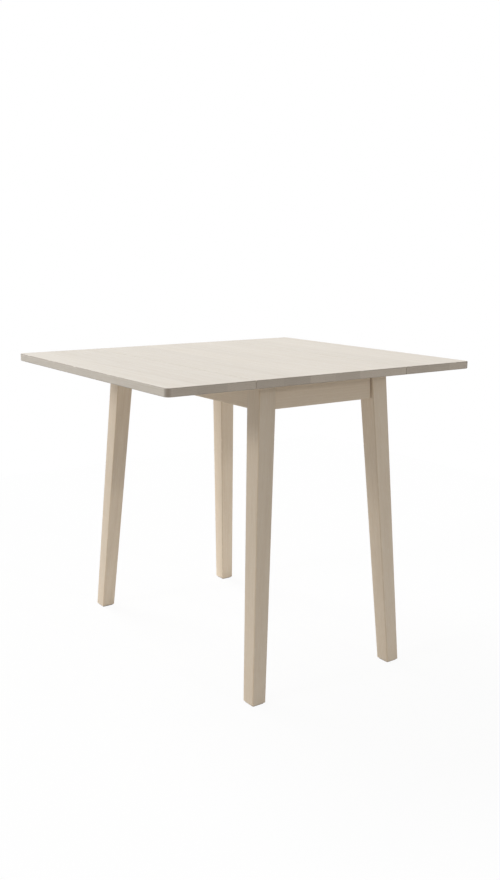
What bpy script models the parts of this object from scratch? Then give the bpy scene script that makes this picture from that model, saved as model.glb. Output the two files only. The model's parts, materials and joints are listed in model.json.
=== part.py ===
"""Drop-leaf dining table: a fixed centre panel on a frame of splayed legs, with a hinged leaf at each end.

Units are metres and +Z is up. The origin is on the floor under the middle of the table. X runs along the
open table from the left leaf to the right leaf, and Y runs from the front to the back. Both leaves are up.
"""

import math

import bmesh
import bpy
from mathutils import Vector

# Top
TABLE_HEIGHT = 0.750
TOP_WIDTH = 0.750
TOP_THICKNESS = 0.019
CENTRE_PANEL_LENGTH = 0.449
LEAF_LENGTH = 0.2239
SEAM_GAP = 0.0016
TOP_CORNER_RADIUS = 0.012
TOP_EDGE_ROUND = 0.002
SEAM_EDGE_ROUND = 0.0008

# Legs, splayed outward both ways and tapered towards the floor
LEG_INSET = 0.033
LEG_TOP_SECTION = 0.047
LEG_FOOT_SECTION = 0.037
LEG_SPLAY_X = 0.0385
LEG_SPLAY_Y = 0.042
LEG_EDGE_ROUND = 0.0025
LEG_FOOT_EASE = 0.001
GLIDE_THICKNESS = 0.002
GLIDE_INSET = 0.002

# Aprons between the legs, each with a narrow open joint beside the leg that is closed behind
APRON_HEIGHT = 0.0565
APRON_THICKNESS = 0.018
APRON_SETBACK = 0.004
APRON_EDGE_ROUND = 0.0015
APRON_JOINT_WIDTH = 0.0025
APRON_JOINT_DEPTH = 0.008

# Steel corner brackets, each with a flange under the panel and a bolt into the leg
BRACKET_HEIGHT = 0.040
BRACKET_THICKNESS = 0.0025
BRACKET_WING_LENGTH = 0.025
BRACKET_LEG_CLEARANCE = 0.005
BRACKET_FLANGE_WIDTH = 0.030
BRACKET_FLANGE_DEPTH = 0.018
BOLT_RADIUS = 0.004
BOLT_DEPTH_IN_LEG = 0.028
BOLT_TIP_CHAMFER = 0.001
BOLT_HEAD_RADIUS = 0.0075
BOLT_HEAD_HEIGHT = 0.005
BOLT_CLEARANCE = 0.0004

# Butt hinges under the seams
HINGE_EDGE_MARGIN = 0.075
HINGE_LENGTH = 0.060
HINGE_KNUCKLES = 5
HINGE_KNUCKLE_GAP = 0.0004
HINGE_PLATE_WIDTH = 0.026
HINGE_PLATE_THICKNESS = 0.0016
HINGE_BARREL_RADIUS = 0.003
HINGE_BARREL_DROP = 0.0002
HINGE_BARREL_CLEARANCE = 0.0006
HINGE_TONGUE_INSET = 0.0003
HINGE_PIN_RADIUS = 0.0015
HINGE_PIN_RECESS = 0.0005

# Folding stays that prop the leaves
STAY_SPACING = 0.170
STAY_PIVOT_REACH = 0.0155
STAY_PIVOT_DROP = 0.037
STAY_REST_REACH = 0.105
STAY_FOLDED_CLEARANCE = 0.0005
STAY_ARM_THICKNESS = 0.004
STAY_ARM_ROOT_RADIUS = 0.007
STAY_NOSE_RADIUS = 0.004
STAY_SIDE_CLEARANCE = 0.0004
STAY_EAR_THICKNESS = 0.0025
STAY_EAR_RADIUS = 0.006
STAY_BASE_THICKNESS = 0.002
STAY_BASE_HEIGHT = 0.022
STAY_BASE_WIDTH = 0.040
STAY_PIN_RADIUS = 0.002
STAY_PIN_HEAD_RADIUS = 0.0035
STAY_PIN_HEAD_HEIGHT = 0.0012
RAIL_WEB_THICKNESS = 0.002
RAIL_FLANGE_HEIGHT = 0.010
RAIL_FLANGE_THICKNESS = 0.002
RAIL_SIDE_CLEARANCE = 0.004
RAIL_END_MARGIN = 0.012
RAIL_STOP_HEIGHT = 0.0015
RAIL_STOP_LENGTH = 0.004
RAIL_STOP_CLEARANCE = 0.0006

# Fits shared by all pieces: the gap between pieces that touch, and the play of a pin in its bore
SEAT_GAP = 0.0003
PIN_CLEARANCE = 0.0003

# Facets of round shapes
CORNER_STEPS = 6
EDGE_ROUND_STEPS = 3
LEG_ROUND_STEPS = 3
BARREL_SIDES = 16
SCREW_SIDES = 12
LINK_END_STEPS = 8
SHARP_ANGLE = math.radians(35)

# Places that follow from the sizes above
UNDERSIDE = TABLE_HEIGHT - TOP_THICKNESS
FRAME_TOP = UNDERSIDE - SEAT_GAP
PANEL_HALF_LENGTH = CENTRE_PANEL_LENGTH / 2
HINGE_X = PANEL_HALF_LENGTH + SEAM_GAP / 2
HINGE_Z = FRAME_TOP - HINGE_BARREL_DROP - HINGE_BARREL_RADIUS
HINGE_SPREAD = TOP_WIDTH / 2 - HINGE_EDGE_MARGIN - HINGE_LENGTH / 2
LEG_OUTER_X = PANEL_HALF_LENGTH - LEG_INSET
LEG_OUTER_Y = TOP_WIDTH / 2 - LEG_INSET
APRON_OUTER_X = LEG_OUTER_X - APRON_SETBACK
APRON_OUTER_Y = LEG_OUTER_Y - APRON_SETBACK
APRON_INNER_X = APRON_OUTER_X - APRON_THICKNESS
APRON_INNER_Y = APRON_OUTER_Y - APRON_THICKNESS
APRON_BOTTOM = UNDERSIDE - APRON_HEIGHT
FOOT_BOTTOM = GLIDE_THICKNESS + SEAT_GAP
BRACKET_MIDDLE_Z = FRAME_TOP - BRACKET_HEIGHT / 2
STAY_PIVOT_X = APRON_OUTER_X + STAY_PIVOT_REACH
STAY_PIVOT_Z = UNDERSIDE - STAY_PIVOT_DROP
RAIL_WEB_BOTTOM = FRAME_TOP - RAIL_WEB_THICKNESS
STAY_NOSE_Z = RAIL_WEB_BOTTOM - SEAT_GAP - STAY_NOSE_RADIUS
STAY_NOSE_X = HINGE_X + STAY_REST_REACH

SIDES = {"left": -1, "right": 1}
ENDS = {"front": -1, "back": 1}
HINGE_ROWS = {"front": -HINGE_SPREAD, "middle": 0.0, "back": HINGE_SPREAD}

LIMED_WOOD = ((0.72, 0.65, 0.55, 1.0), 0.55, 0.0)
ZINC_STEEL = ((0.62, 0.62, 0.60, 1.0), 0.35, 1.0)
BROWN_PLASTIC = ((0.26, 0.21, 0.165, 1.0), 0.6, 0.0)


def clear_scene():
    """Remove everything that the file starts with."""
    for leftover in list(bpy.data.objects):
        bpy.data.objects.remove(leftover)


def make_material(name, finish):
    """Make a material from a finish, given as colour, roughness and metallic value."""
    colour, roughness, metallic = finish
    material = bpy.data.materials.new(name)
    material.use_nodes = True
    shader = material.node_tree.nodes["Principled BSDF"]
    shader.inputs["Base Color"].default_value = colour
    shader.inputs["Roughness"].default_value = roughness
    shader.inputs["Metallic"].default_value = metallic
    return material


def add_empty(name, place):
    """Add an empty that marks a joint's axis."""
    empty = bpy.data.objects.new(name, None)
    empty.location = place
    bpy.context.scene.collection.objects.link(empty)
    return empty


def add_piece(name, solid, finish, parent=None, origin=(0, 0, 0)):
    """Turn a solid in world coordinates into a named object. Its origin is a given point, or its parent's."""
    place = Vector(origin) if parent is None else parent.location
    bmesh.ops.translate(solid, verts=solid.verts, vec=-place)
    mesh = bpy.data.meshes.new(name)
    solid.to_mesh(mesh)
    solid.free()
    mesh.shade_smooth()
    mesh.set_sharp_from_angle(angle=SHARP_ANGLE)
    mesh.materials.append(make_material(name + "_finish", finish))
    piece = bpy.data.objects.new(name, mesh)
    bpy.context.scene.collection.objects.link(piece)
    if parent is None:
        piece.location = place
    else:
        piece.parent = parent


def loft(rings):
    """Skin a closed solid over rings that have the same number of points."""
    solid = bmesh.new()
    loops = [[solid.verts.new(point) for point in ring] for ring in rings]
    for lower, upper in zip(loops, loops[1:]):
        for index, corner in enumerate(lower):
            following = (index + 1) % len(lower)
            solid.faces.new((corner, lower[following], upper[following], upper[index]))
    solid.faces.new(reversed(loops[0]))
    solid.faces.new(loops[-1])
    bmesh.ops.recalc_face_normals(solid, faces=solid.faces)
    return solid


def extrude_z(outline, low, high):
    """Extrude a plan outline of (x, y) points between two heights."""
    return loft([[(x, y, z) for x, y in outline] for z in (low, high)])


def extrude_y(outline, low, high):
    """Extrude a side outline of (x, z) points from front to back."""
    return loft([[(x, y, z) for x, z in outline] for y in (low, high)])


def extrude_x(outline, low, high):
    """Extrude an end outline of (y, z) points from left to right."""
    return loft([[(x, y, z) for y, z in outline] for x in (low, high)])


def box(first, second):
    """Make a box from two opposite corners."""
    outline = [(first[0], first[1]), (second[0], first[1]), (second[0], second[1]), (first[0], second[1])]
    return extrude_z(outline, first[2], second[2])


def circle_ring(centre, axis, radius, sides, flats=None):
    """Return points round a level axis. With flats, they follow a shape with that many flat sides."""
    axis = Vector(axis).normalized()
    across = axis.cross(Vector((0, 0, 1))).normalized()
    upward = axis.cross(across)
    points = []
    for index in range(sides):
        angle = 2 * math.pi * (index + 0.5) / sides
        reach = radius
        if flats and index % 2:
            reach = radius * math.cos(math.pi / flats)
        points.append(Vector(centre) + reach * (math.cos(angle) * across + math.sin(angle) * upward))
    return points


def rod(start, end, radius, sides):
    """Make a round bar between two points."""
    axis = Vector(end) - Vector(start)
    return loft([circle_ring(start, axis, radius, sides), circle_ring(end, axis, radius, sides)])


def combine(first, second, operation):
    """Join two solids with UNION, or take the second from the first with DIFFERENCE."""
    operands = []
    for solid in (first, second):
        mesh = bpy.data.meshes.new("operand")
        solid.to_mesh(mesh)
        solid.free()
        operand = bpy.data.objects.new("operand", mesh)
        bpy.context.scene.collection.objects.link(operand)
        operands.append(operand)
    modifier = operands[0].modifiers.new("combine", "BOOLEAN")
    modifier.operation = operation
    modifier.solver = "EXACT"
    modifier.object = operands[1]
    result = bmesh.new()
    result.from_object(operands[0], bpy.context.evaluated_depsgraph_get())
    for operand in operands:
        mesh = operand.data
        bpy.data.objects.remove(operand)
        bpy.data.meshes.remove(mesh)
    return result


def merge(solids):
    """Put solids that don't touch into one bmesh."""
    merged = bmesh.new()
    for solid in solids:
        mesh = bpy.data.meshes.new("operand")
        solid.to_mesh(mesh)
        solid.free()
        merged.from_mesh(mesh)
        bpy.data.meshes.remove(mesh)
    return merged


def arc(centre, radius, start, end, steps):
    """Return points along an arc, from one angle to another, in radians."""
    angles = [start + (end - start) * step / steps for step in range(steps + 1)]
    return [(centre[0] + radius * math.cos(angle), centre[1] + radius * math.sin(angle)) for angle in angles]


def rounded_rectangle(low, high, radius, steps):
    """Return a plan outline with four round corners."""
    corners = [(high[0], high[1]), (low[0], high[1]), (low[0], low[1]), (high[0], low[1])]
    inward = [(-1, -1), (1, -1), (1, 1), (-1, 1)]
    points = []
    for turn, (corner, sign) in enumerate(zip(corners, inward)):
        centre = (corner[0] + sign[0] * radius, corner[1] + sign[1] * radius)
        start = turn * math.pi / 2
        points += arc(centre, radius, start, start + math.pi / 2, steps)
    return points


def board_levels():
    """Return the heights of a top board's outlines, each with its share of the edge round's inset."""
    levels = []
    for step in range(EDGE_ROUND_STEPS + 1):
        angle = math.pi / 2 * step / EDGE_ROUND_STEPS
        levels.append((TOP_EDGE_ROUND * (1 - math.cos(angle)), 1 - math.sin(angle)))
    lower = [(UNDERSIDE + rise, share) for rise, share in levels]
    upper = [(TABLE_HEIGHT - rise, share) for rise, share in reversed(levels)]
    return lower + upper


def make_centre_panel():
    """Make the fixed panel, with a seam edge at each end."""
    rings = []
    for height, share in board_levels():
        half_x = PANEL_HALF_LENGTH - share * SEAM_EDGE_ROUND
        half_y = TOP_WIDTH / 2 - share * TOP_EDGE_ROUND
        outline = [(half_x, half_y), (-half_x, half_y), (-half_x, -half_y), (half_x, -half_y)]
        rings.append([(x, y, height) for x, y in outline])
    add_piece("centre_panel", loft(rings), LIMED_WOOD)


def make_leaf(side_name, axis_empty):
    """Make one leaf, with a seam edge towards the panel and two round outer corners."""
    side = SIDES[side_name]
    seam_x = PANEL_HALF_LENGTH + SEAM_GAP
    rings = []
    for height, share in board_levels():
        low_x = seam_x + share * SEAM_EDGE_ROUND
        inset = share * TOP_EDGE_ROUND
        high_x = seam_x + LEAF_LENGTH - inset
        half_y = TOP_WIDTH / 2 - inset
        radius = TOP_CORNER_RADIUS - inset
        outline = [(low_x, -half_y)]
        outline += arc((high_x - radius, radius - half_y), radius, -math.pi / 2, 0, CORNER_STEPS)
        outline += arc((high_x - radius, half_y - radius), radius, 0, math.pi / 2, CORNER_STEPS)
        outline += [(low_x, half_y)]
        rings.append([(side * x, y, height) for x, y in outline])
    add_piece(side_name + "_leaf", loft(rings), LIMED_WOOD, parent=axis_empty)


def leg_limits(height):
    """Return a leg's inner and outer (x, y) corners at a height, for the right back leg."""
    share = (UNDERSIDE - height) / UNDERSIDE
    section = LEG_TOP_SECTION + (LEG_FOOT_SECTION - LEG_TOP_SECTION) * share
    outer = (LEG_OUTER_X + LEG_SPLAY_X * share, LEG_OUTER_Y + LEG_SPLAY_Y * share)
    inner = (outer[0] - section, outer[1] - section)
    return inner, outer


def leg_ring(height, inset, side, end):
    """Return a leg's outline at a height, drawn in by an inset."""
    inner, outer = leg_limits(height)
    low = (inner[0] + inset, inner[1] + inset)
    high = (outer[0] - inset, outer[1] - inset)
    outline = rounded_rectangle(low, high, LEG_EDGE_ROUND, LEG_ROUND_STEPS)
    return [(side * x, end * y, height) for x, y in outline]


def bolt_axis(side, end):
    """Return the direction from the middle of the table to a corner, and where the bolt meets the bracket."""
    bracket_sum = bracket_plan_sum()
    spare = bracket_sum - APRON_INNER_X - APRON_INNER_Y
    middle = (APRON_INNER_X + spare / 2, APRON_INNER_Y + spare / 2)
    place = Vector((side * middle[0], end * middle[1], BRACKET_MIDDLE_Z))
    return Vector((side, end, 0)).normalized(), place


def bracket_plan_sum():
    """Return x + y on the face of a corner bracket that looks at the leg, for the right back corner."""
    inner, _ = leg_limits(FRAME_TOP)
    return inner[0] + inner[1] - BRACKET_LEG_CLEARANCE * math.sqrt(2)


def bolt_leg_reach(side, end):
    """Return how far along its axis a bolt runs from the bracket's face to the leg's inner corner."""
    direction, place = bolt_axis(side, end)
    inner, _ = leg_limits(BRACKET_MIDDLE_Z)
    corner = Vector((side * inner[0], end * inner[1], BRACKET_MIDDLE_Z))
    return (corner - place).dot(direction)


def make_leg(name, side, end):
    """Make one splayed and tapered leg, with a hole for its bolt in the inner corner."""
    levels = [(FOOT_BOTTOM, LEG_FOOT_EASE), (FOOT_BOTTOM + LEG_FOOT_EASE, 0.0), (FRAME_TOP, 0.0)]
    solid = loft([leg_ring(height, inset, side, end) for height, inset in levels])
    direction, place = bolt_axis(side, end)
    depth = bolt_leg_reach(side, end) + BOLT_DEPTH_IN_LEG + BOLT_CLEARANCE
    hole = rod(place, place + depth * direction, BOLT_RADIUS + BOLT_CLEARANCE, SCREW_SIDES)
    add_piece(name + "_leg", combine(solid, hole, "DIFFERENCE"), LIMED_WOOD)


def make_foot_glide(name, side, end):
    """Make the thin glide under a leg."""
    inset = LEG_FOOT_EASE + GLIDE_INSET
    outline = [(x, y) for x, y, _ in leg_ring(FOOT_BOTTOM, inset, side, end)]
    add_piece(name + "_foot_glide", extrude_z(outline, 0.0, GLIDE_THICKNESS), BROWN_PLASTIC)


def apron_profile():
    """Return an apron's section as (depth behind its face, height) points, with eased lower edges."""
    radius = APRON_EDGE_ROUND
    low = APRON_BOTTOM + radius
    points = [(0.0, FRAME_TOP)]
    points += arc((radius, low), radius, math.pi, 1.5 * math.pi, EDGE_ROUND_STEPS)
    points += arc((APRON_THICKNESS - radius, low), radius, 1.5 * math.pi, 2 * math.pi, EDGE_ROUND_STEPS)
    points += [(APRON_THICKNESS, FRAME_TOP)]
    return points


def front_or_back_apron_point(end, way, short, depth, height):
    """Return a point of an apron along the table: short of the leg on one side, and behind the apron's face."""
    inner, _ = leg_limits(height)
    return (way * (inner[0] - short), end * (APRON_OUTER_Y - depth), height)


def left_or_right_apron_point(side, way, short, depth, height):
    """Return a point of an apron across the table: short of the leg at one end, and behind the apron's face."""
    inner, _ = leg_limits(height)
    return (side * (APRON_OUTER_X - depth), way * (inner[1] - short), height)


def make_apron(name, sign, point):
    """Make an apron with ends cut to the slope of the legs, then open its joints from the face."""
    profile = apron_profile()
    solid = loft([[point(sign, way, SEAT_GAP, depth, height) for depth, height in profile] for way in (-1, 1)])
    over = APRON_EDGE_ROUND
    corners = [
        (-over, -over),
        (APRON_JOINT_WIDTH, -over),
        (APRON_JOINT_WIDTH, APRON_JOINT_DEPTH),
        (-over, APRON_JOINT_DEPTH),
    ]
    for way in (-1, 1):
        rings = []
        for height in (APRON_BOTTOM - over, FRAME_TOP + over):
            rings.append([point(sign, way, short, depth, height) for short, depth in corners])
        solid = combine(solid, loft(rings), "DIFFERENCE")
    add_piece(name + "_apron", solid, LIMED_WOOD)


def make_corner_bracket(name, side, end):
    """Make a bent steel plate across a corner, with a wing on each apron and a flange under the panel."""
    face_x = APRON_INNER_X - SEAT_GAP
    face_y = APRON_INNER_Y - SEAT_GAP
    thickness = BRACKET_THICKNESS
    outer_sum = bracket_plan_sum()
    inner_sum = outer_sum - thickness * math.sqrt(2)
    wing_end_y = outer_sum - face_x - BRACKET_WING_LENGTH
    wing_end_x = outer_sum - face_y - BRACKET_WING_LENGTH
    outline = [
        (face_x, wing_end_y),
        (face_x, outer_sum - face_x),
        (outer_sum - face_y, face_y),
        (wing_end_x, face_y),
        (wing_end_x, face_y - thickness),
        (inner_sum - face_y + thickness, face_y - thickness),
        (face_x - thickness, inner_sum - face_x + thickness),
        (face_x - thickness, wing_end_y),
    ]
    outline = [(side * x, end * y) for x, y in outline]
    plate = extrude_z(outline, FRAME_TOP - BRACKET_HEIGHT, FRAME_TOP)
    direction, place = bolt_axis(side, end)
    across = Vector((-direction.y, direction.x, 0)) * (BRACKET_FLANGE_WIDTH / 2)
    near = place - direction * (thickness / 2)
    far = place - direction * (thickness + BRACKET_FLANGE_DEPTH)
    corners = (near + across, far + across, far - across, near - across)
    flange_outline = [(corner.x, corner.y) for corner in corners]
    flange = extrude_z(flange_outline, FRAME_TOP - thickness, FRAME_TOP)
    solid = combine(plate, flange, "UNION")
    hole = rod(
        place - direction * BRACKET_FLANGE_DEPTH,
        place + direction * thickness,
        BOLT_RADIUS + BOLT_CLEARANCE,
        SCREW_SIDES,
    )
    add_piece(name + "_corner_bracket", combine(solid, hole, "DIFFERENCE"), ZINC_STEEL)


def make_leg_bolt(name, side, end):
    """Make the hexagon-headed bolt that draws a leg against its bracket."""
    direction, place = bolt_axis(side, end)
    under_head = place - direction * (BRACKET_THICKNESS + SEAT_GAP)
    head_top = under_head - direction * BOLT_HEAD_HEIGHT
    tip = place + direction * (bolt_leg_reach(side, end) + BOLT_DEPTH_IN_LEG)
    rings = [
        circle_ring(head_top, direction, BOLT_HEAD_RADIUS, SCREW_SIDES, flats=SCREW_SIDES // 2),
        circle_ring(under_head, direction, BOLT_HEAD_RADIUS, SCREW_SIDES, flats=SCREW_SIDES // 2),
        circle_ring(under_head, direction, BOLT_RADIUS, SCREW_SIDES),
        circle_ring(tip - direction * BOLT_TIP_CHAMFER, direction, BOLT_RADIUS, SCREW_SIDES),
        circle_ring(tip, direction, BOLT_RADIUS - BOLT_TIP_CHAMFER, SCREW_SIDES),
    ]
    add_piece(name + "_leg_bolt", loft(rings), ZINC_STEEL)


def knuckle_spans(middle_y, first):
    """Return the (start, end) of every second knuckle of a hinge, counted from a first one."""
    pitch = HINGE_LENGTH / HINGE_KNUCKLES
    start_y = middle_y - HINGE_LENGTH / 2
    trim = HINGE_KNUCKLE_GAP / 2
    indices = range(first, HINGE_KNUCKLES, 2)
    return [(start_y + index * pitch + trim, start_y + (index + 1) * pitch - trim) for index in indices]


def make_hinge_plate(side, middle_y, outward, first_knuckle):
    """Make a hinge plate with its knuckles. Outward is 1 on the leaf and -1 on the panel."""
    reach = side * outward
    notch_x = HINGE_X * side + reach * (HINGE_BARREL_RADIUS + HINGE_BARREL_CLEARANCE)
    tongue_x = HINGE_X * side + reach * HINGE_TONGUE_INSET
    far_x = HINGE_X * side + reach * HINGE_PLATE_WIDTH
    low_y = middle_y - HINGE_LENGTH / 2
    spans = knuckle_spans(middle_y, first_knuckle)
    outline = [(far_x, low_y), (notch_x, low_y)]
    for start, finish in spans:
        tongue_start = start + HINGE_TONGUE_INSET
        tongue_finish = finish - HINGE_TONGUE_INSET
        outline += [(notch_x, tongue_start), (tongue_x, tongue_start)]
        outline += [(tongue_x, tongue_finish), (notch_x, tongue_finish)]
    outline += [(notch_x, low_y + HINGE_LENGTH), (far_x, low_y + HINGE_LENGTH)]
    plate = extrude_z(outline, FRAME_TOP - HINGE_PLATE_THICKNESS, FRAME_TOP)
    axis_x = side * HINGE_X
    knuckles = [
        rod((axis_x, start, HINGE_Z), (axis_x, finish, HINGE_Z), HINGE_BARREL_RADIUS, BARREL_SIDES)
        for start, finish in spans
    ]
    solid = combine(plate, merge(knuckles), "UNION")
    bore = rod(
        (axis_x, low_y - HINGE_BARREL_RADIUS, HINGE_Z),
        (axis_x, low_y + HINGE_LENGTH + HINGE_BARREL_RADIUS, HINGE_Z),
        HINGE_PIN_RADIUS + PIN_CLEARANCE,
        SCREW_SIDES,
    )
    return combine(solid, bore, "DIFFERENCE")


def make_hinge(side_name, row_name, leaf_axis):
    """Make one butt hinge: a plate on the panel, a plate on the leaf, and the pin."""
    side = SIDES[side_name]
    middle_y = HINGE_ROWS[row_name]
    name = f"{side_name}_{row_name}_hinge"
    add_piece(name + "_panel_plate", make_hinge_plate(side, middle_y, -1, 0), ZINC_STEEL)
    add_piece(name + "_leaf_plate", make_hinge_plate(side, middle_y, 1, 1), ZINC_STEEL, parent=leaf_axis)
    half_length = HINGE_LENGTH / 2 - HINGE_PIN_RECESS
    axis_x = side * HINGE_X
    pin = rod(
        (axis_x, middle_y - half_length, HINGE_Z),
        (axis_x, middle_y + half_length, HINGE_Z),
        HINGE_PIN_RADIUS,
        SCREW_SIDES,
    )
    add_piece(name + "_pin", pin, ZINC_STEEL)


def stay_arm_length():
    """Return the distance from a stay's pivot to the middle of its nose."""
    return math.hypot(STAY_NOSE_X - STAY_PIVOT_X, STAY_NOSE_Z - STAY_PIVOT_Z)


def folded_nose():
    """Return where a nose is with the leaf down, as (x beyond the hinge axis, distance below that axis)."""
    nose_x = STAY_NOSE_Z - HINGE_Z - STAY_FOLDED_CLEARANCE
    pivot_offset = STAY_PIVOT_X - HINGE_X
    drop = math.sqrt(stay_arm_length() ** 2 - (nose_x - pivot_offset) ** 2)
    return nose_x, drop + HINGE_Z - STAY_PIVOT_Z


def stay_ratio():
    """Return how far a stay arm turns for each degree that its leaf turns."""
    rest_angle = math.atan2(STAY_NOSE_Z - STAY_PIVOT_Z, STAY_NOSE_X - STAY_PIVOT_X)
    nose_x, nose_drop = folded_nose()
    folded_angle = math.atan2(HINGE_Z - nose_drop - STAY_PIVOT_Z, HINGE_X + nose_x - STAY_PIVOT_X)
    return (rest_angle - folded_angle) / (math.pi / 2)


def stay_bore(side, middle_y):
    """Make the cutter for the bores on a stay's pivot axis."""
    reach = STAY_ARM_THICKNESS + STAY_EAR_THICKNESS + STAY_SIDE_CLEARANCE
    return rod(
        (side * STAY_PIVOT_X, middle_y - reach, STAY_PIVOT_Z),
        (side * STAY_PIVOT_X, middle_y + reach, STAY_PIVOT_Z),
        STAY_PIN_RADIUS + PIN_CLEARANCE,
        SCREW_SIDES,
    )


def ear_faces():
    """Return the distances from a stay's middle plane to the inner and outer faces of its bracket's ears."""
    inner = STAY_ARM_THICKNESS / 2 + STAY_SIDE_CLEARANCE
    return inner, inner + STAY_EAR_THICKNESS


def make_stay_bracket(name, side, middle_y):
    """Make the clevis on an apron that carries a stay arm."""
    base_x = APRON_OUTER_X + SEAT_GAP
    base_face_x = base_x + STAY_BASE_THICKNESS
    solid = box(
        (side * base_x, middle_y - STAY_BASE_WIDTH / 2, STAY_PIVOT_Z - STAY_BASE_HEIGHT / 2),
        (side * base_face_x, middle_y + STAY_BASE_WIDTH / 2, STAY_PIVOT_Z + STAY_BASE_HEIGHT / 2),
    )
    root_x = base_x + STAY_BASE_THICKNESS / 2
    outline = [(root_x, STAY_PIVOT_Z - STAY_EAR_RADIUS)]
    outline += arc((STAY_PIVOT_X, STAY_PIVOT_Z), STAY_EAR_RADIUS, -math.pi / 2, math.pi / 2, LINK_END_STEPS)
    outline += [(root_x, STAY_PIVOT_Z + STAY_EAR_RADIUS)]
    outline = [(side * x, z) for x, z in outline]
    inner, outer = ear_faces()
    ears = [extrude_y(outline, middle_y + end * inner, middle_y + end * outer) for end in ENDS.values()]
    solid = combine(solid, merge(ears), "UNION")
    solid = combine(solid, stay_bore(side, middle_y), "DIFFERENCE")
    add_piece(name + "_bracket", solid, ZINC_STEEL)


def make_stay_pin(name, side, middle_y):
    """Make the headed pin that a stay arm turns on."""
    _, outer = ear_faces()
    under_head = outer + SEAT_GAP
    head_face = under_head + STAY_PIN_HEAD_HEIGHT
    stations = [
        (-head_face, STAY_PIN_HEAD_RADIUS),
        (-under_head, STAY_PIN_HEAD_RADIUS),
        (-under_head, STAY_PIN_RADIUS),
        (under_head, STAY_PIN_RADIUS),
        (under_head, STAY_PIN_HEAD_RADIUS),
        (head_face, STAY_PIN_HEAD_RADIUS),
    ]
    rings = []
    for offset, radius in stations:
        centre = (side * STAY_PIVOT_X, middle_y + offset, STAY_PIVOT_Z)
        rings.append(circle_ring(centre, (0, 1, 0), radius, SCREW_SIDES))
    add_piece(name + "_pin", loft(rings), ZINC_STEEL)


def make_stay_arm(name, side, middle_y):
    """Make a stay arm: a flat link with a large round root and a small round nose."""
    length = stay_arm_length()
    slope = math.atan2(STAY_NOSE_Z - STAY_PIVOT_Z, STAY_NOSE_X - STAY_PIVOT_X)
    tangent = math.acos((STAY_ARM_ROOT_RADIUS - STAY_NOSE_RADIUS) / length)
    outline = arc(
        (STAY_NOSE_X, STAY_NOSE_Z), STAY_NOSE_RADIUS, slope - tangent, slope + tangent, LINK_END_STEPS
    )
    outline += arc(
        (STAY_PIVOT_X, STAY_PIVOT_Z),
        STAY_ARM_ROOT_RADIUS,
        slope + tangent,
        slope + 2 * math.pi - tangent,
        LINK_END_STEPS,
    )
    outline = [(side * x, z) for x, z in outline]
    half = STAY_ARM_THICKNESS / 2
    solid = extrude_y(outline, middle_y - half, middle_y + half)
    solid = combine(solid, stay_bore(side, middle_y), "DIFFERENCE")
    pivot = (side * STAY_PIVOT_X, middle_y, STAY_PIVOT_Z)
    add_piece(name + "_arm", solid, ZINC_STEEL, origin=pivot)


def make_stay_rail(name, side, middle_y, leaf_axis):
    """Make the channel under a leaf that takes a stay's nose, with a low stop that keeps the nose there."""
    inner = STAY_ARM_THICKNESS / 2 + RAIL_SIDE_CLEARANCE
    outer = inner + RAIL_FLANGE_THICKNESS
    flange_bottom = FRAME_TOP - RAIL_FLANGE_HEIGHT
    outline = [
        (-outer, FRAME_TOP),
        (-outer, flange_bottom),
        (-inner, flange_bottom),
        (-inner, RAIL_WEB_BOTTOM),
        (inner, RAIL_WEB_BOTTOM),
        (inner, flange_bottom),
        (outer, flange_bottom),
        (outer, FRAME_TOP),
    ]
    outline = [(middle_y + y, z) for y, z in outline]
    _, folded_reach = folded_nose()
    start_x = STAY_NOSE_X - RAIL_END_MARGIN
    finish_x = HINGE_X + folded_reach + RAIL_END_MARGIN
    channel = extrude_x(outline, side * start_x, side * finish_x)
    stop_x = STAY_NOSE_X + STAY_NOSE_RADIUS + RAIL_STOP_CLEARANCE
    stop_half = inner - RAIL_STOP_CLEARANCE
    stop = box(
        (side * stop_x, middle_y - stop_half, RAIL_WEB_BOTTOM - RAIL_STOP_HEIGHT),
        (side * (stop_x + RAIL_STOP_LENGTH), middle_y + stop_half, RAIL_WEB_BOTTOM + RAIL_WEB_THICKNESS / 2),
    )
    add_piece(name + "_rail", combine(channel, stop, "UNION"), ZINC_STEEL, parent=leaf_axis)


def make_stay(side_name, end_name, leaf_axis):
    """Make one folding stay: its bracket, pin, arm and rail."""
    side = SIDES[side_name]
    middle_y = ENDS[end_name] * STAY_SPACING / 2
    name = f"{side_name}_{end_name}_stay"
    make_stay_bracket(name, side, middle_y)
    make_stay_pin(name, side, middle_y)
    make_stay_arm(name, side, middle_y)
    make_stay_rail(name, side, middle_y, leaf_axis)


def make_corner(side_name, end_name):
    """Make a leg with its glide, bracket and bolt."""
    side = SIDES[side_name]
    end = ENDS[end_name]
    name = f"{end_name}_{side_name}"
    make_leg(name, side, end)
    make_foot_glide(name, side, end)
    make_corner_bracket(name, side, end)
    make_leg_bolt(name, side, end)


def main():
    """Build the table."""
    clear_scene()
    make_centre_panel()
    for end_name, end in ENDS.items():
        make_apron(end_name, end, front_or_back_apron_point)
    for side_name, side in SIDES.items():
        leaf_axis = add_empty(side_name + "_leaf_axis", (side * HINGE_X, 0.0, HINGE_Z))
        make_leaf(side_name, leaf_axis)
        make_apron(side_name, side, left_or_right_apron_point)
        for row_name in HINGE_ROWS:
            make_hinge(side_name, row_name, leaf_axis)
        for end_name in ENDS:
            make_corner(side_name, end_name)
            make_stay(side_name, end_name, leaf_axis)
    print(f"Each stay arm turns {stay_ratio():.5f} degrees for each degree of its leaf")


main()
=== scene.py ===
"""Looks of an extending dining table in limed wood, with two folding leaves, in a plain studio.

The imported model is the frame. Sizes that it holds are read from it, and the classes below add what its solids
leave out: finer rounds, wood screws, finishes, light and the camera. Units are metres, and +Z is up.
"""

import json
import logging
import math
from dataclasses import dataclass, field, replace
from enum import Enum
from itertools import count, product
from typing import Any, Sequence, Union

import bmesh
import bpy
import numpy as np
from bpy.types import Material, NodeSocket, Object, ShaderNodeTree
from mathutils import Euler, Matrix, Vector

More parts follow.
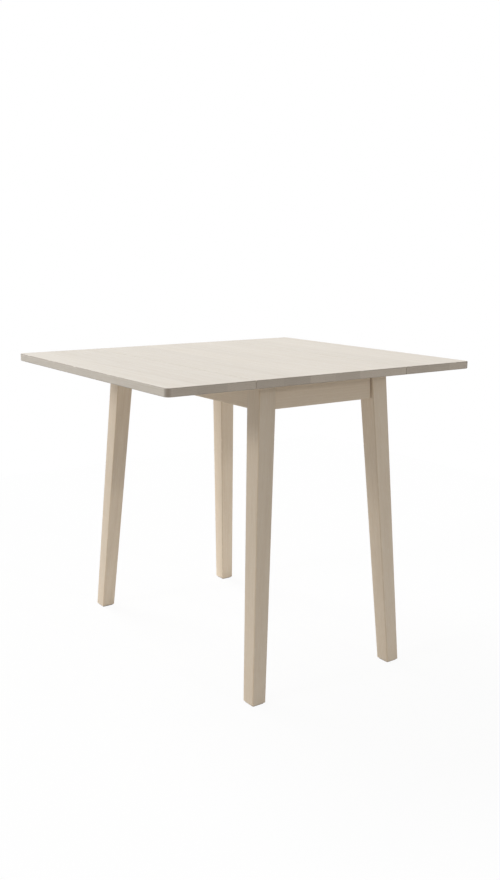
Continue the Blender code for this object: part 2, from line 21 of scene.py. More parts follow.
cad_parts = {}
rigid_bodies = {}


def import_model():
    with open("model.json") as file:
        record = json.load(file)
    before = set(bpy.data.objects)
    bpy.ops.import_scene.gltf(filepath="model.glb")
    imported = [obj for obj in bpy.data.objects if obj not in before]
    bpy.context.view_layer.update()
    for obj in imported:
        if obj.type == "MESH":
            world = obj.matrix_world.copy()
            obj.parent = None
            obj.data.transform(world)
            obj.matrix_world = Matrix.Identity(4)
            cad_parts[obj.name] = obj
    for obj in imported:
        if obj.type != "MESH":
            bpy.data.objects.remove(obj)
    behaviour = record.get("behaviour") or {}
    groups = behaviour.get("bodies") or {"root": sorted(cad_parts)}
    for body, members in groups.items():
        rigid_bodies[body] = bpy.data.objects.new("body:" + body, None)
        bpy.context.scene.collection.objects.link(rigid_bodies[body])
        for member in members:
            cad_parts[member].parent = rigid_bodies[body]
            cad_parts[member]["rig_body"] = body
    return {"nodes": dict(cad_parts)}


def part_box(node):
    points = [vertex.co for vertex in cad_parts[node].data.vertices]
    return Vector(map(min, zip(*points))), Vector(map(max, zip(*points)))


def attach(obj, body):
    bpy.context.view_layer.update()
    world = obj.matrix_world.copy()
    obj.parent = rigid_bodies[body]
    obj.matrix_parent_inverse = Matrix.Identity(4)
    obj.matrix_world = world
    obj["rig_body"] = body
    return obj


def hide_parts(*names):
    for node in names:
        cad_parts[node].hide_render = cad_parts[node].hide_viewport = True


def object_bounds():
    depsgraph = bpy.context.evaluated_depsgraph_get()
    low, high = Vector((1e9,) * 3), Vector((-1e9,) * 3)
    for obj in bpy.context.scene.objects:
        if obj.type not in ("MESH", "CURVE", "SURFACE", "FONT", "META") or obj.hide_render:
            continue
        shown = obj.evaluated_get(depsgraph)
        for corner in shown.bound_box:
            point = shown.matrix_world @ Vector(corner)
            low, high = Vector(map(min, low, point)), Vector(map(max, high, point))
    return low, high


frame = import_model()
CAD_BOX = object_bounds()

LOG = logging.getLogger("dining_table")

Pair = tuple[float, float]
Triple = tuple[float, float, float]
Colour = Triple
Input = Union["Signal", float, Sequence[float]]

FRAME_BODY = "frame"
WOOD_SLOT = "limed_wood"
STEEL_SLOT = "zinc_steel"
EDGE_SHADE_AND_WEAR = "wear"
SHARP_ANGLE = math.radians(35)
FULL_TURN = 2 * math.pi
QUARTER_TURN = math.pi / 2
SQUARE_CORNERS = 4
WHITE = (1.0, 1.0, 1.0)
DOWN = Vector((0, 0, -1))

# The middle of a value that runs from 0 to 1
MIDDLE = 0.5

# Numbers of the colour sockets of a Mix node
MIX_SHARE = 0
MIX_FIRST = 6
MIX_SECOND = 7
MIX_RESULT = 2


class Sign(Enum):
    """A direction along one axis of the table, as a sign."""

    @property
    def label(self) -> str:
        """The word for this direction in the names of pieces."""
        return self.name.lower()


class Side(Sign):
    """The two ends of the table that carry a leaf, as the sign of their x."""

    LEFT = -1
    RIGHT = 1


class End(Sign):
    """The two long sides of the table, as the sign of their y."""

    FRONT = -1
    BACK = 1


class Grain(Enum):
    """The axis that a piece's fibres follow, as the order of its axes: along, across and through."""

    ALONG_X = (0, 1, 2)
    ALONG_Y = (1, 0, 2)
    ALONG_Z = (2, 0, 1)


class Signal:
    """A shader socket that takes part in Python arithmetic."""

    def __init__(self, shader: "Shader", socket: NodeSocket) -> None:
        """Keep the socket and the shader that it belongs to."""
        self.shader = shader
        self.socket = socket

    def output(self, name: str) -> "Signal":
        """Another output of the same node."""
        return Signal(self.shader, self.socket.node.outputs[name])

    def __add__(self, other: Input) -> "Signal":
        """This value plus another, in either order."""
        return self.shader.math("ADD", self, other)

    def __sub__(self, other: Input) -> "Signal":
        """This value less another."""
        return self.shader.math("SUBTRACT", self, other)

    def __rsub__(self, other: Input) -> "Signal":
        """Another value less this one."""
        return self.shader.math("SUBTRACT", other, self)

    def __mul__(self, other: Input) -> "Signal":
        """This value times another, in either order."""
        return self.shader.math("MULTIPLY", self, other)

    def __truediv__(self, other: Input) -> "Signal":
        """This value over another."""
        return self.shader.math("DIVIDE", self, other)

    __radd__ = __add__
    __rmul__ = __mul__


class Shader:
    """Adds nodes to one tree, by expressions on signals."""

    def __init__(self, tree: ShaderNodeTree) -> None:
        """Keep the tree that the nodes go into."""
        self.tree = tree

    def feed(self, socket: NodeSocket, value: Input) -> None:
        """Link a signal to a socket, or set the socket's own value.

        Args:
            socket: the input that takes the value.
            value: a signal, a number, or a colour or vector.
        """
        if isinstance(value, Signal):
            self.tree.links.new(value.socket, socket)
        elif socket.type == "RGBA":
            socket.default_value = (*value, 1.0)
        else:
            socket.default_value = value

    def node(
        self,
        kind: str,
        settings: dict[str, Any] | None = None,
        inputs: dict[str | int, Input] | None = None,
        output: str | int = 0,
    ) -> Signal:
        """Add a node, set its settings, then feed its sockets.

        Args:
            kind: the node's type, without the words that every type starts with.
            settings: the node's own properties.
            inputs: values or signals by socket name or number.
            output: the output that is handed back.

        Returns:
            The chosen output.
        """
        made = self.tree.nodes.new("ShaderNode" + kind)
        for name, setting in (settings or {}).items():
            setattr(made, name, setting)
        for name, value in (inputs or {}).items():
            self.feed(made.inputs[name], value)
        return Signal(self, made.outputs[output])

    def math(self, operation: str, *values: Input) -> Signal:
        """A Math node on one or more values."""
        return self.node("Math", {"operation": operation}, dict(enumerate(values)))

    def vector(self, operation: str, *values: Input) -> Signal:
        """A Vector Math node on one or more vectors."""
        return self.node("VectorMath", {"operation": operation}, dict(enumerate(values)))

    def scaled(self, colour: Input, share: Input) -> Signal:
        """A colour or vector times one number."""
        return self.node("VectorMath", {"operation": "SCALE"}, {0: colour, "Scale": share})

    def blend(self, share: Input, first: Input, second: Input) -> Signal:
        """A mix of two colours, from the first where the share is 0 to the second where it is 1."""
        inputs = {MIX_SHARE: share, MIX_FIRST: first, MIX_SECOND: second}
        return self.node("Mix", {"data_type": "RGBA"}, inputs, MIX_RESULT)

    def noise(self, place: Signal, scale: float | Triple, detail: float = 2.0) -> Signal:
        """Smooth noise from 0 to 1.

        Args:
            place: where the noise is read.
            scale: its frequency, either one number or one for each axis.
            detail: how many finer octaves it has.

        Returns:
            The noise value.
        """
        scales = (scale, scale, scale) if isinstance(scale, float) else scale
        spread = self.vector("MULTIPLY", place, scales)
        return self.node("TexNoise", None, {"Vector": spread, "Scale": 1.0, "Detail": detail})

    def step(self, value: Signal, low: float, high: float) -> Signal:
        """A smooth step from 0 where the value is low to 1 where it is high."""
        inputs = {"Value": value, "From Min": low, "From Max": high}
        return self.node("MapRange", {"interpolation_type": "SMOOTHSTEP"}, inputs)

    def axes(self, vector: Signal) -> list[Signal]:
        """The three parts of a vector."""
        parts = self.node("SeparateXYZ", None, {"Vector": vector})
        return [parts.output(axis) for axis in "XYZ"]

    def bump(self, height: Signal, strength: float, depth: float) -> Signal:
        """The normal of a surface raised by a height from 0 to 1, where 1 is the depth in metres."""
        return self.node("Bump", None, {"Strength": strength, "Distance": depth, "Height": height})


class Paint(Shader):
    """The nodes of a new material with a Principled surface."""

    def __init__(self, name: str) -> None:
        """Make the material.

        Args:
            name: its name.
        """
        self.material = bpy.data.materials.new(name)
        self.material.use_nodes = True
        super().__init__(self.material.node_tree)

    def cover(self, values: dict[str, Input]) -> Material:
        """Feed sockets of the surface.

        Args:
            values: values or signals by socket name.

        Returns:
            The material.
        """
        surface = self.tree.nodes["Principled BSDF"]
        for name, value in values.items():
            self.feed(surface.inputs[name], value)
        return self.material


@dataclass(frozen=True)
class WoodPattern:
    """What a point of a piece of wood holds: its place, its stave's luck, and shares from 0 to 1."""

    place: Signal
    luck: list[Signal]
    ring: Signal
    fibre: Signal
    pore: Signal
    glue: Signal
    end: Signal
    below: Signal


@dataclass(frozen=True)
class LimedWood:
    """Pale limed hardwood with growth rings, fibres and white-filled pores, all worked out in space.

    A ring is a circle about a pith line that follows the grain, so one formula draws lines on a face and arcs
    on an end. Boards are glued from staves, and each stave has a pith, a tone and a shift of its own.
    """

    body: Colour
    late_wood: Colour
    lime: Colour
    bare: Colour
    rubbed: Colour
    tone: float = 1.0
    end_tint: Colour = (0.833, 0.790, 0.748)
    ring_spacing: float = 0.0052
    ring_share: float = 0.24
    pith_depth: float = 0.070
    pith_least: float = 0.6
    pith_luck: float = 0.8
    pith_spread: float = 0.045
    pith_tilt: float = 0.016
    wander: float = 0.007
    wander_scale: Triple = (1.3, 7.0, 7.0)
    fibre_scale: Triple = (9.0, 260.0, 260.0)
    fibre_detail: float = 3.0
    fibre_range: Pair = (0.45, 0.75)
    fibre_share: float = 0.30
    pore_scale: Triple = (48.0, 1500.0, 1500.0)
    pore_detail: float = 1.0
    pore_range: Pair = (0.58, 0.68)
    pore_share: float = 0.45
    cloud_scale: Triple = (1.4, 5.0, 5.0)
    cloud_tone: float = 0.10
    stave_tone: float = 0.05
    stave_shift: Triple = (5.0, 0.0, 0.0)
    glue_line: Pair = (0.00015, 0.00050)
    glue_share: float = 0.22
    end_range: Pair = (0.45, 0.90)
    end_tone: float = 0.28
    below_range: Pair = (0.60, 0.90)
    below_share: float = 0.55
    wear_scale: float = 38.0
    wear_range: Pair = (0.22, 0.50)
    wear_share: float = 0.85
    roughness: float = 0.47
    fibre_roughness: float = 0.12
    end_roughness: float = 0.14
    bump_strength: float = 0.35
    bump_depth: float = 0.00025
    fibre_relief: float = 0.5
    pore_relief: float = 0.3
    glue_relief: float = 0.2

    def dress(
        self,
        name: str,
        grain: Grain,
        origin: Vector,
        stave_width: float,
        seed: float,
        lean: Euler = Euler((0.0, 0.0, 0.0)),
    ) -> Material:
        """Make the finish of one piece.

        Args:
            name: the material's name.
            grain: the axis that the fibres follow.
            origin: the point of the piece where its pattern starts.
            stave_width: the width of a glued stave, or of the whole piece.
            seed: a number that sets this piece's staves apart from others.
            lean: the turn that brings a leaning piece upright before its pattern is read.

        Returns:
            The material.
        """
        shader = Paint(name)
        parts = shader.axes(self.spot(shader, origin, lean))
        along, across, through = [parts[axis] for axis in grain.value]
        cell = across / stave_width
        stave = shader.math("FLOOR", cell)
        chance = shader.node("TexWhiteNoise", {"noise_dimensions": "1D"}, {"W": stave + seed}, "Color")
        luck = shader.axes(chance)
        ordered = shader.node("CombineXYZ", None, {0: along, 1: across, 2: through})
        place = shader.vector("MULTIPLY_ADD", chance, self.stave_shift, ordered)
        off_middle = cell - stave - MIDDLE
        to_joint = (MIDDLE - shader.math("ABSOLUTE", off_middle)) * stave_width
        facing = shader.axes(shader.node("TexCoord", output="Normal"))
        end = shader.step(shader.math("ABSOLUTE", facing[grain.value[0]]), *self.end_range)
        pattern = WoodPattern(
            place=place,
            luck=luck,
            ring=self.rings(shader, place, off_middle * stave_width, luck),
            fibre=shader.noise(place, self.fibre_scale, self.fibre_detail),
            pore=shader.step(shader.noise(place, self.pore_scale, self.pore_detail), *self.pore_range),
            glue=1.0 - shader.step(to_joint, *self.glue_line),
            end=end,
            below=shader.step(0.0 - facing[2], *self.below_range) * (1.0 - end),
        )
        colour = self.colour(shader, pattern)
        rough = self.roughness + self.fibre_roughness * (pattern.fibre - MIDDLE) + self.end_roughness * end
        relief = pattern.fibre * self.fibre_relief + (1.0 - pattern.pore) * self.pore_relief
        relief = relief + (1.0 - pattern.glue) * self.glue_relief
        normal = shader.bump(relief, self.bump_strength, self.bump_depth)
        return shader.cover({"Base Color": colour, "Roughness": rough, "Normal": normal})

    def spot(self, shader: Shader, origin: Vector, lean: Euler) -> Signal:
        """The place on a piece, turned upright and measured from its origin.

        Args:
            shader: the material's shader.
            origin: the point of the piece where its pattern starts.
            lean: the turn that brings the piece upright.

        Returns:
            The place as a vector.
        """
        coordinates = shader.node("TexCoord", output="Object")
        start = lean.to_matrix() @ origin
        inputs = {"Vector": coordinates, "Location": tuple(-start), "Rotation": tuple(lean)}
        return shader.node("Mapping", None, inputs)

    def rings(self, shader: Shader, place: Signal, off_middle: Signal, luck: list[Signal]) -> Signal:
        """Growth rings: a squared sine of the distance from a pith that tilts and wanders along the grain.

        Args:
            shader: the material's shader.
            place: the place in the order along, across, through.
            off_middle: the distance across from the middle of the stave.
            luck: three random numbers for each stave.

        Returns:
            The rings, from 0 in early wood to 1 in late wood.
        """
        along, _, through = shader.axes(place)
        tilt_luck, side_luck, depth_luck = luck
        sideways = off_middle - (side_luck - MIDDLE) * self.pith_spread
        down = through + self.pith_depth * (self.pith_least + self.pith_luck * depth_luck)
        wobble = (shader.noise(place, self.wander_scale) - MIDDLE) * self.wander
        distance = shader.math("SQRT", sideways * sideways + down * down)
        distance = distance + along * self.pith_tilt * (tilt_luck - MIDDLE) + wobble
        wave = shader.math("SINE", distance * (FULL_TURN / self.ring_spacing)) * MIDDLE + MIDDLE
        return wave * wave

    def colour(self, shader: Shader, at: WoodPattern) -> Signal:
        """The colour of a point: rings, fibres, lime, tone, glue, the underside, ends, wear and painted shade.

        End grain drinks more of the finish, by a share that differs from stave to stave. Along rounded edges,
        in patches,
        the colour turns toward a darker one: on the legs and aprons this is wear, and on the boards it is
        painted shade.

        Args:
            shader: the material's shader.
            at: what the point holds.

        Returns:
            The colour.
        """
        mixed = shader.blend(at.ring * self.ring_share, self.body, self.late_wood)
        streak = shader.step(at.fibre, *self.fibre_range)
        mixed = shader.blend(streak * self.fibre_share, mixed, self.late_wood)
        mixed = shader.blend(at.pore * self.pore_share, mixed, self.lime)
        cloud = shader.noise(at.place, self.cloud_scale) - MIDDLE
        tone = self.tone + (at.luck[0] - MIDDLE) * self.stave_tone + cloud * self.cloud_tone
        mixed = shader.scaled(mixed, tone)
        mixed = shader.blend(at.glue * self.glue_share, mixed, self.late_wood)
        mixed = shader.blend(at.below * self.below_share, mixed, self.bare)
        tinted = shader.vector("MULTIPLY", mixed, self.end_tint)
        tinted = shader.scaled(tinted, 1.0 + (at.luck[1] - MIDDLE) * self.end_tone)
        mixed = shader.blend(at.end, mixed, tinted)
        # Painted shade and wear: along rounded edges the colour turns darker in patches. On the boards this is
        # painted shade, and on the legs and aprons it is mild wear.
        edge = shader.node("Attribute", {"attribute_name": EDGE_SHADE_AND_WEAR}, output="Fac")
        patch = shader.step(shader.noise(at.place, self.wear_scale), *self.wear_range)
        return shader.blend(edge * patch * self.wear_share, mixed, self.rubbed)


@dataclass(frozen=True)
class PlatedSteel:
    """Plated steel with a faint change of tint, dull patches and a fine satin grain."""

    cool: Colour = (0.600, 0.610, 0.625)
    warm: Colour = (0.660, 0.640, 0.590)
    dull: Colour = (0.430, 0.425, 0.415)
    tint_scale: float = 26.0
    tint_range: Pair = (0.35, 0.65)
    patch_scale: float = 120.0
    patch_detail: float = 4.0
    patch_range: Pair = (0.56, 0.74)
    patch_share: float = 0.45
    grain_scale: float = 1400.0
    roughness: float = 0.34
    patch_roughness: float = 0.16
    grain_roughness: float = 0.10
    bump_strength: float = 0.12
    bump_depth: float = 0.00008

    def dress(self, name: str) -> Material:
        """Make the finish.

        Args:
            name: the material's name.

        Returns:
            The material.
        """
        shader = Paint(name)
        place = shader.node("TexCoord", output="Object")
        tint = shader.step(shader.noise(place, self.tint_scale), *self.tint_range)
        patch = shader.step(shader.noise(place, self.patch_scale, self.patch_detail), *self.patch_range)
        grain = shader.noise(place, self.grain_scale)
        colour = shader.blend(tint, self.cool, self.warm)
        colour = shader.blend(patch * self.patch_share, colour, self.dull)
        rough = self.roughness + patch * self.patch_roughness + (grain - MIDDLE) * self.grain_roughness
        normal = shader.bump(grain, self.bump_strength, self.bump_depth)
        return shader.cover({"Base Color": colour, "Metallic": 1.0, "Roughness": rough, "Normal": normal})


@dataclass(frozen=True)
class GlidePlastic:
    """Brown moulded plastic with a fine speckle and paler scuffs from the floor."""

    body: Colour = (0.255, 0.205, 0.160)
    speckle: Colour = (0.300, 0.250, 0.200)
    scuff: Colour = (0.380, 0.335, 0.285)
    speckle_scale: float = 900.0
    scuff_scale: Triple = (60.0, 420.0, 420.0)
    scuff_range: Pair = (0.60, 0.72)
    scuff_share: float = 0.6
    roughness: float = 0.50
    scuff_roughness: float = 0.20
    bump_strength: float = 0.25
    bump_depth: float = 0.0001

    def dress(self, name: str) -> Material:
        """Make the finish.

        Args:
            name: the material's name.

        Returns:
            The material.
        """
        shader = Paint(name)
        place = shader.node("TexCoord", output="Object")
        speckle = shader.noise(place, self.speckle_scale)
        scuff = shader.step(shader.noise(place, self.scuff_scale), *self.scuff_range)
        colour = shader.blend(speckle, self.body, self.speckle)
        colour = shader.blend(scuff * self.scuff_share, colour, self.scuff)
        rough = self.roughness + scuff * self.scuff_roughness
        normal = shader.bump(speckle, self.bump_strength, self.bump_depth)
        return shader.cover({"Base Color": colour, "Roughness": rough, "Normal": normal})


def shell(plan: np.ndarray, height: np.ndarray) -> np.ndarray:
    """The rings of one shell, from the plan of each level and the levels' heights.

    Args:
        plan: points as an array of levels, points and (x, y).
        height: the height of each level.

    Returns:
        The points as an array of one shell, rings, points and coordinates.
    """
    upright = np.broadcast_to(height[:, None, None], (*plan.shape[:2], 1))
    return np.concatenate((plan, upright), axis=-1)[None]


def closed_surface(name: str, rings: np.ndarray, wear: np.ndarray | None = None) -> Object:
    """Make a mesh of closed shells from rings of points.

    Point (i, j) of a shell is joined to the next point of its ring, which closes on itself, and to point j of
    the next ring. One face caps each end.

    Args:
        name: the object's name.
        rings: points as an array of shells, rings, points and coordinates.
        wear: how open each point is to rubbing and to painted edge shade, from 0 to 1, in the same order.

    Returns:
        The object, at the origin.
    """
    index = np.arange(math.prod(rings.shape[:3])).reshape(rings.shape[:3])
    following = np.roll(index, -1, axis=2)
    corners = (index[:, :-1], following[:, :-1], following[:, 1:], index[:, 1:])
    faces = np.stack(corners, axis=-1).reshape(-1, len(corners)).tolist()
    faces += index[:, 0, ::-1].tolist() + index[:, -1].tolist()
    mesh = bpy.data.meshes.new(name)
    mesh.from_pydata(rings.reshape(index.size, -1).tolist(), [], faces)
    if wear is not None:
        attribute = mesh.attributes.new(EDGE_SHADE_AND_WEAR, "FLOAT", "POINT")
        attribute.data.foreach_set("value", wear.reshape(-1).astype(np.float32))
    outward = bmesh.new()
    outward.from_mesh(mesh)
    bmesh.ops.recalc_face_normals(outward, faces=outward.faces)
    outward.to_mesh(mesh)
    outward.free()
    mesh.shade_smooth()
    mesh.set_sharp_from_angle(angle=SHARP_ANGLE)
    piece = bpy.data.objects.new(name, mesh)
    bpy.context.scene.collection.objects.link(piece)
    return piece


def settle(piece: Object, material: Material, body: str, slot: str, *nodes: str) -> None:
    """Dress a new piece, set it on its body and report it.

    Args:
        piece: the new object.
        material: its finish.
        body: the body that it rides on.
        slot: the record's material slot; not used.
        nodes: the nodes that it stands for, if any.
    """
    piece.data.materials.append(material)
    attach(piece, body)
    if nodes:
        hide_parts(*nodes)
    LOG.info("%s: %d faces on %s", piece.name, len(piece.data.polygons), body)


def dress_nodes(names: Sequence[str], material: Material) -> None:
    """Give nodes of the frame a finish and report them.

    Args:
        names: the nodes' names.
        material: the finish.
    """
    for name in names:
        for slot in frame["nodes"][name].material_slots:
            slot.material = material
    LOG.info("%s on %d nodes", material.name, len(names))


def quarter_round(radius: float, border: float, steps: int) -> tuple[np.ndarray, ...]:
    """A quarter round from a lower face up to an upright one, with a narrow flat border on each.

    Over a quarter turn, the inset is the radius times one less the sine, and the rise is the radius times one
    less the cosine.

    Args:
        radius: the round's radius.
        border: the width of each border.
        steps: how many faces draw the round.

    Returns:
        Insets, rises, and how open each level is to rubbing and to painted edge shade.
    """
    angle = np.linspace(0, QUARTER_TURN, steps + 1)
    reach = radius + border
    inset = np.concatenate(([reach], radius * (1 - np.sin(angle)), [0.0]))
    rise = np.concatenate(([0.0], radius * (1 - np.cos(angle)), [reach]))
    edge = np.concatenate(([0.0], np.sin(2 * angle), [0.0]))
    return inset, rise, edge


def section_at(name: str, height: float, reach: float = 0.0004) -> tuple[np.ndarray, np.ndarray]:
    """The plan limits of a node's points near a height.

    Args:
        name: the node's name.
        height: the height of the section.
        reach: how far from that height a point may be.

    Returns:
        The lowest and the highest (x, y).
    """
    vertices = frame["nodes"][name].data.vertices
    points = np.array([vertex.co for vertex in vertices], dtype=np.float32)
    near = points[np.abs(points[:, 2] - height) < reach]
    return near[:, :2].min(axis=0), near[:, :2].max(axis=0)


@dataclass
class TableTop:
    """The centre panel and the two leaves: boards glued from staves that run across the table."""

    wood: LimedWood
    corner_radius: float = 0.012
    edge_round: float = 0.002
    seam_round: float = 0.0008
    flat_border: float = 0.0006
    seam_border: float = 0.0015
    corner_steps: int = 12
    round_steps: int = 6
    # Each board's number of staves and its seed
    boards: dict[str, tuple[int, float]] = field(
        default_factory=lambda: {"centre_panel": (6, 11.0), "left_leaf": (3, 37.0), "right_leaf": (3, 71.0)}
    )

    def build(self) -> None:
        """Make and dress the three boards."""
        for node, (staves, seed) in self.boards.items():
            low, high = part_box(node)
            piece = closed_surface(node + "_board", *self.board(low, high))
            stave_width = (high.x - low.x) / staves
            material = self.wood.dress(node + "_wood", Grain.ALONG_Y, low, stave_width, seed)
            settle(piece, material, frame["nodes"][node]["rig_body"], WOOD_SLOT, node)

    def board(self, low: Vector, high: Vector) -> tuple[np.ndarray, np.ndarray]:
        """A board's surface: an edge with a round below and above, carried round its outline.

        A point is the outline's point, moved inward by the edge's inset, at the edge's height.

        Args:
            low: the board's lowest corner.
            high: the board's highest corner.

        Returns:
            The rings, and how open each point is to rubbing and to painted edge shade.
        """
        points, inward, free, corner = self.outline(low, high)
        inset, rise, edge = quarter_round(self.edge_round, self.flat_border, self.round_steps)
        height = np.concatenate((low.z + rise, high.z - rise[::-1]))
        inset = np.concatenate((inset, inset[::-1]))
        edge = np.concatenate((edge, edge[::-1]))
        upright = inset < self.edge_round
        rings = shell(points + inset[:, None, None] * inward, height)
        return rings, np.maximum(edge[:, None] * free, upright[:, None] * corner)

    def outline(self, low: Vector, high: Vector) -> tuple[np.ndarray, ...]:
        """A board's plan, corner by corner: an arc at a free corner, and two points at a seam.

        Args:
            low: the board's lowest corner.
            high: the board's highest corner.

        Returns:
            The points, how each moves for an inset of 1, which is less along a seam, and how open its edges and
            its upright face are to rubbing and to painted edge shade.
        """
        points = []
        inward = []
        free = []
        corner_shade_and_wear = []
        seam_share = self.seam_round / self.edge_round
        free_from = CAD_BOX[1].x - self.edge_round
        for turn, (x_sign, y_sign) in enumerate(((1, 1), (-1, 1), (-1, -1), (1, -1))):
            sign = np.array((x_sign, y_sign))
            corner = np.where(sign > 0, high.xy, low.xy)
            if abs(corner[0]) > free_from:
                share = np.linspace(0, 1, self.corner_steps + 1)
                angle = QUARTER_TURN * (turn + share)
                outward = np.stack((np.cos(angle), np.sin(angle)), axis=-1)
                points.append(corner - self.corner_radius * (sign - outward))
                inward.append(-outward)
                free.append(np.ones_like(share))
                # A free corner's upright face takes painted shade, strongest at the middle of its arc.
                corner_shade_and_wear.append(np.sin(math.pi * share))
            else:
                # A seam's corner comes before the point beside it at even turns, and after it at odd ones
                order = 1 - 2 * (turn % 2)
                beside = corner - np.array((x_sign * self.seam_border, 0.0))
                open_share = np.array((0.0, 1.0))
                points.append(np.stack((corner, beside))[::order])
                inward.append(-np.array(((x_sign * seam_share, y_sign), (0.0, y_sign)))[::order])
                free.append(open_share[::order])
                corner_shade_and_wear.append(np.zeros_like(open_share))
        return tuple(np.concatenate(parts) for parts in (points, inward, free, corner_shade_and_wear))


@dataclass
class LegFrame:
    """Four splayed and tapered legs, and the four aprons between them."""

    wood: LimedWood
    edge_round: float = 0.0025
    foot_ease: float = 0.001
    apron_round: float = 0.0015
    joint_width: float = 0.0025
    joint_depth: float = 0.008
    round_steps: int = 6
    flat_border: float = 0.0006
    first_seed: float = 5.0
    seed_step: float = 13.0
    # Painted light: each leg's tone scales its colour to stand in for the light that falls on it. The back
    # right leg is lighter and the front left leg darker.
    leg_tones: dict[str, float] = field(
        default_factory=lambda: {
            "front_left_leg": 0.914,
            "back_left_leg": 1.013,
            "front_right_leg": 1.004,
            "back_right_leg": 1.169,
        }
    )

    def build(self) -> None:
        """Make and dress the legs, then the aprons."""
        seeds = count(self.first_seed, self.seed_step)
        for side, end in product(Side, End):
            self.build_leg(f"{end.label}_{side.label}_leg", next(seeds))
        for end in End:
            self.build_apron(f"{end.label}_apron", Grain.ALONG_X, next(seeds))
        for side in Side:
            self.build_apron(f"{side.label}_apron", Grain.ALONG_Y, next(seeds))

    def build_leg(self, node: str, seed: float) -> None:
        """Make one leg: a rounded square carried from the foot to the top, which grows and leans on its way.

        A point is the middle of the section, plus the half width less the round along the corner's diagonal,
        plus the round along the arc.

        Args:
            node: the node that the leg stands for.
            seed: the number that sets its grain apart.
        """
        low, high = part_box(node)
        foot_low, foot_high = section_at(node, low.z + self.foot_ease)
        top_low, top_high = section_at(node, high.z)
        height = np.array((low.z, low.z + self.foot_ease, low.z + self.foot_ease + self.flat_border, high.z))
        inset = np.array((self.foot_ease, 0.0, 0.0, 0.0))
        share = (height - height[1]) / (height[-1] - height[1])
        half = (foot_high - foot_low)[0] / 2 * (1 - share) + (top_high - top_low)[0] / 2 * share
        foot_middle = (foot_low + foot_high) / 2
        top_middle = (top_low + top_high) / 2
        middle = foot_middle + share[:, None] * (top_middle - foot_middle)
        diagonal, outward, edge = self.rounded_square()
        reach = (half - inset - self.edge_round)[:, None, None]
        rings = shell(middle[:, None] + reach * diagonal + self.edge_round * outward, height)
        piece = closed_surface(node + "_post", rings, np.tile(edge, len(height)))
        lean = self.lean(foot_middle, top_middle, height[-1] - height[1])
        origin = Vector((*foot_middle, height[1]))
        width = float((top_high - top_low)[0])
        corner = lean.to_matrix().inverted() @ Vector((width, width, 0.0))
        # The leg's own tone paints the light that falls on it.
        wood = replace(self.wood, tone=self.leg_tones[node])
        material = wood.dress(node + "_wood", Grain.ALONG_Z, origin - corner, 2 * width, seed, lean)
        settle(piece, material, FRAME_BODY, WOOD_SLOT, node)

    def rounded_square(self) -> tuple[np.ndarray, ...]:
        """A square's corners as arcs.

        Returns:
            The sign of each point's corner, the arc's direction there, and how open to rubbing it is.
        """
        share = np.linspace(0, 1, self.round_steps + 1)
        turn = np.arange(SQUARE_CORNERS)
        angle = QUARTER_TURN * (turn[:, None] + share).reshape(-1)
        outward = np.stack((np.cos(angle), np.sin(angle)), axis=-1)
        middle_angle = np.repeat(QUARTER_TURN * (turn + MIDDLE), len(share))
        diagonal = np.sign(np.stack((np.cos(middle_angle), np.sin(middle_angle)), axis=-1))
        return diagonal, outward, np.tile(np.sin(math.pi * share), len(turn))

    def lean(self, foot: np.ndarray, top: np.ndarray, rise: float) -> Euler:
        """The turn that brings a leaning leg upright: first about x, then about y.

        Args:
            foot: the middle of the foot in plan.
            top: the middle of the top in plan.
            rise: the height between them.

        Returns:
            The turn.
        """
        across, depth = top - foot
        about_x = math.atan2(depth, rise)
        about_y = -math.atan2(across, math.hypot(depth, rise))
        return Euler((about_x, about_y, 0.0))

    def build_apron(self, node: str, grain: Grain, seed: float) -> None:
        """Make one apron: its plan, with an open joint beside each leg, carried up from its lower edge.

        A point is the plan's point at its height. The half length changes evenly with the height, because the
        ends slope with the legs. The long faces are inset by a quarter round at the lower edges.

        Args:
            node: the node that the apron stands for.
            grain: the axis that it runs along.
            seed: the number that sets its grain apart.
        """
        low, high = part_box(node)
        run, deep = grain.value[:2]
        low_half = section_at(node, low.z)[1][run]
        top_half = section_at(node, high.z)[1][run]
        inset, rise, edge = quarter_round(self.apron_round, self.flat_border, self.round_steps)
        height = low.z + np.append(rise, high.z - low.z)
        inset = np.append(inset, 0.0)
        edge = np.append(edge, 0.0)
        drawn_in = np.zeros_like(height)
        drawn_in[0] = self.flat_border
        half = low_half + (height - low.z) / (high.z - low.z) * (top_half - low_half) - drawn_in
        short = half - self.joint_width
        outer, inner = sorted((low[deep], high[deep]), key=abs, reverse=True)
        inward = np.sign(inner - outer)
        face = outer + inward * inset
        back = inner - inward * inset
        step = outer + inward * (self.joint_depth + drawn_in)
        along = (-short, short, short, half, half, -half, -half, -short)
        depth = (face, face, step, step, back, back, step, step)
        plan = np.stack((along, depth), axis=-1).swapaxes(0, 1)[..., [run, deep]]
        piece = closed_surface(node + "_rail", shell(plan, height), np.repeat(edge, len(along)))
        material = self.wood.dress(node + "_wood", grain, low, high.z - low.z, seed)
        settle(piece, material, FRAME_BODY, WOOD_SLOT, node)


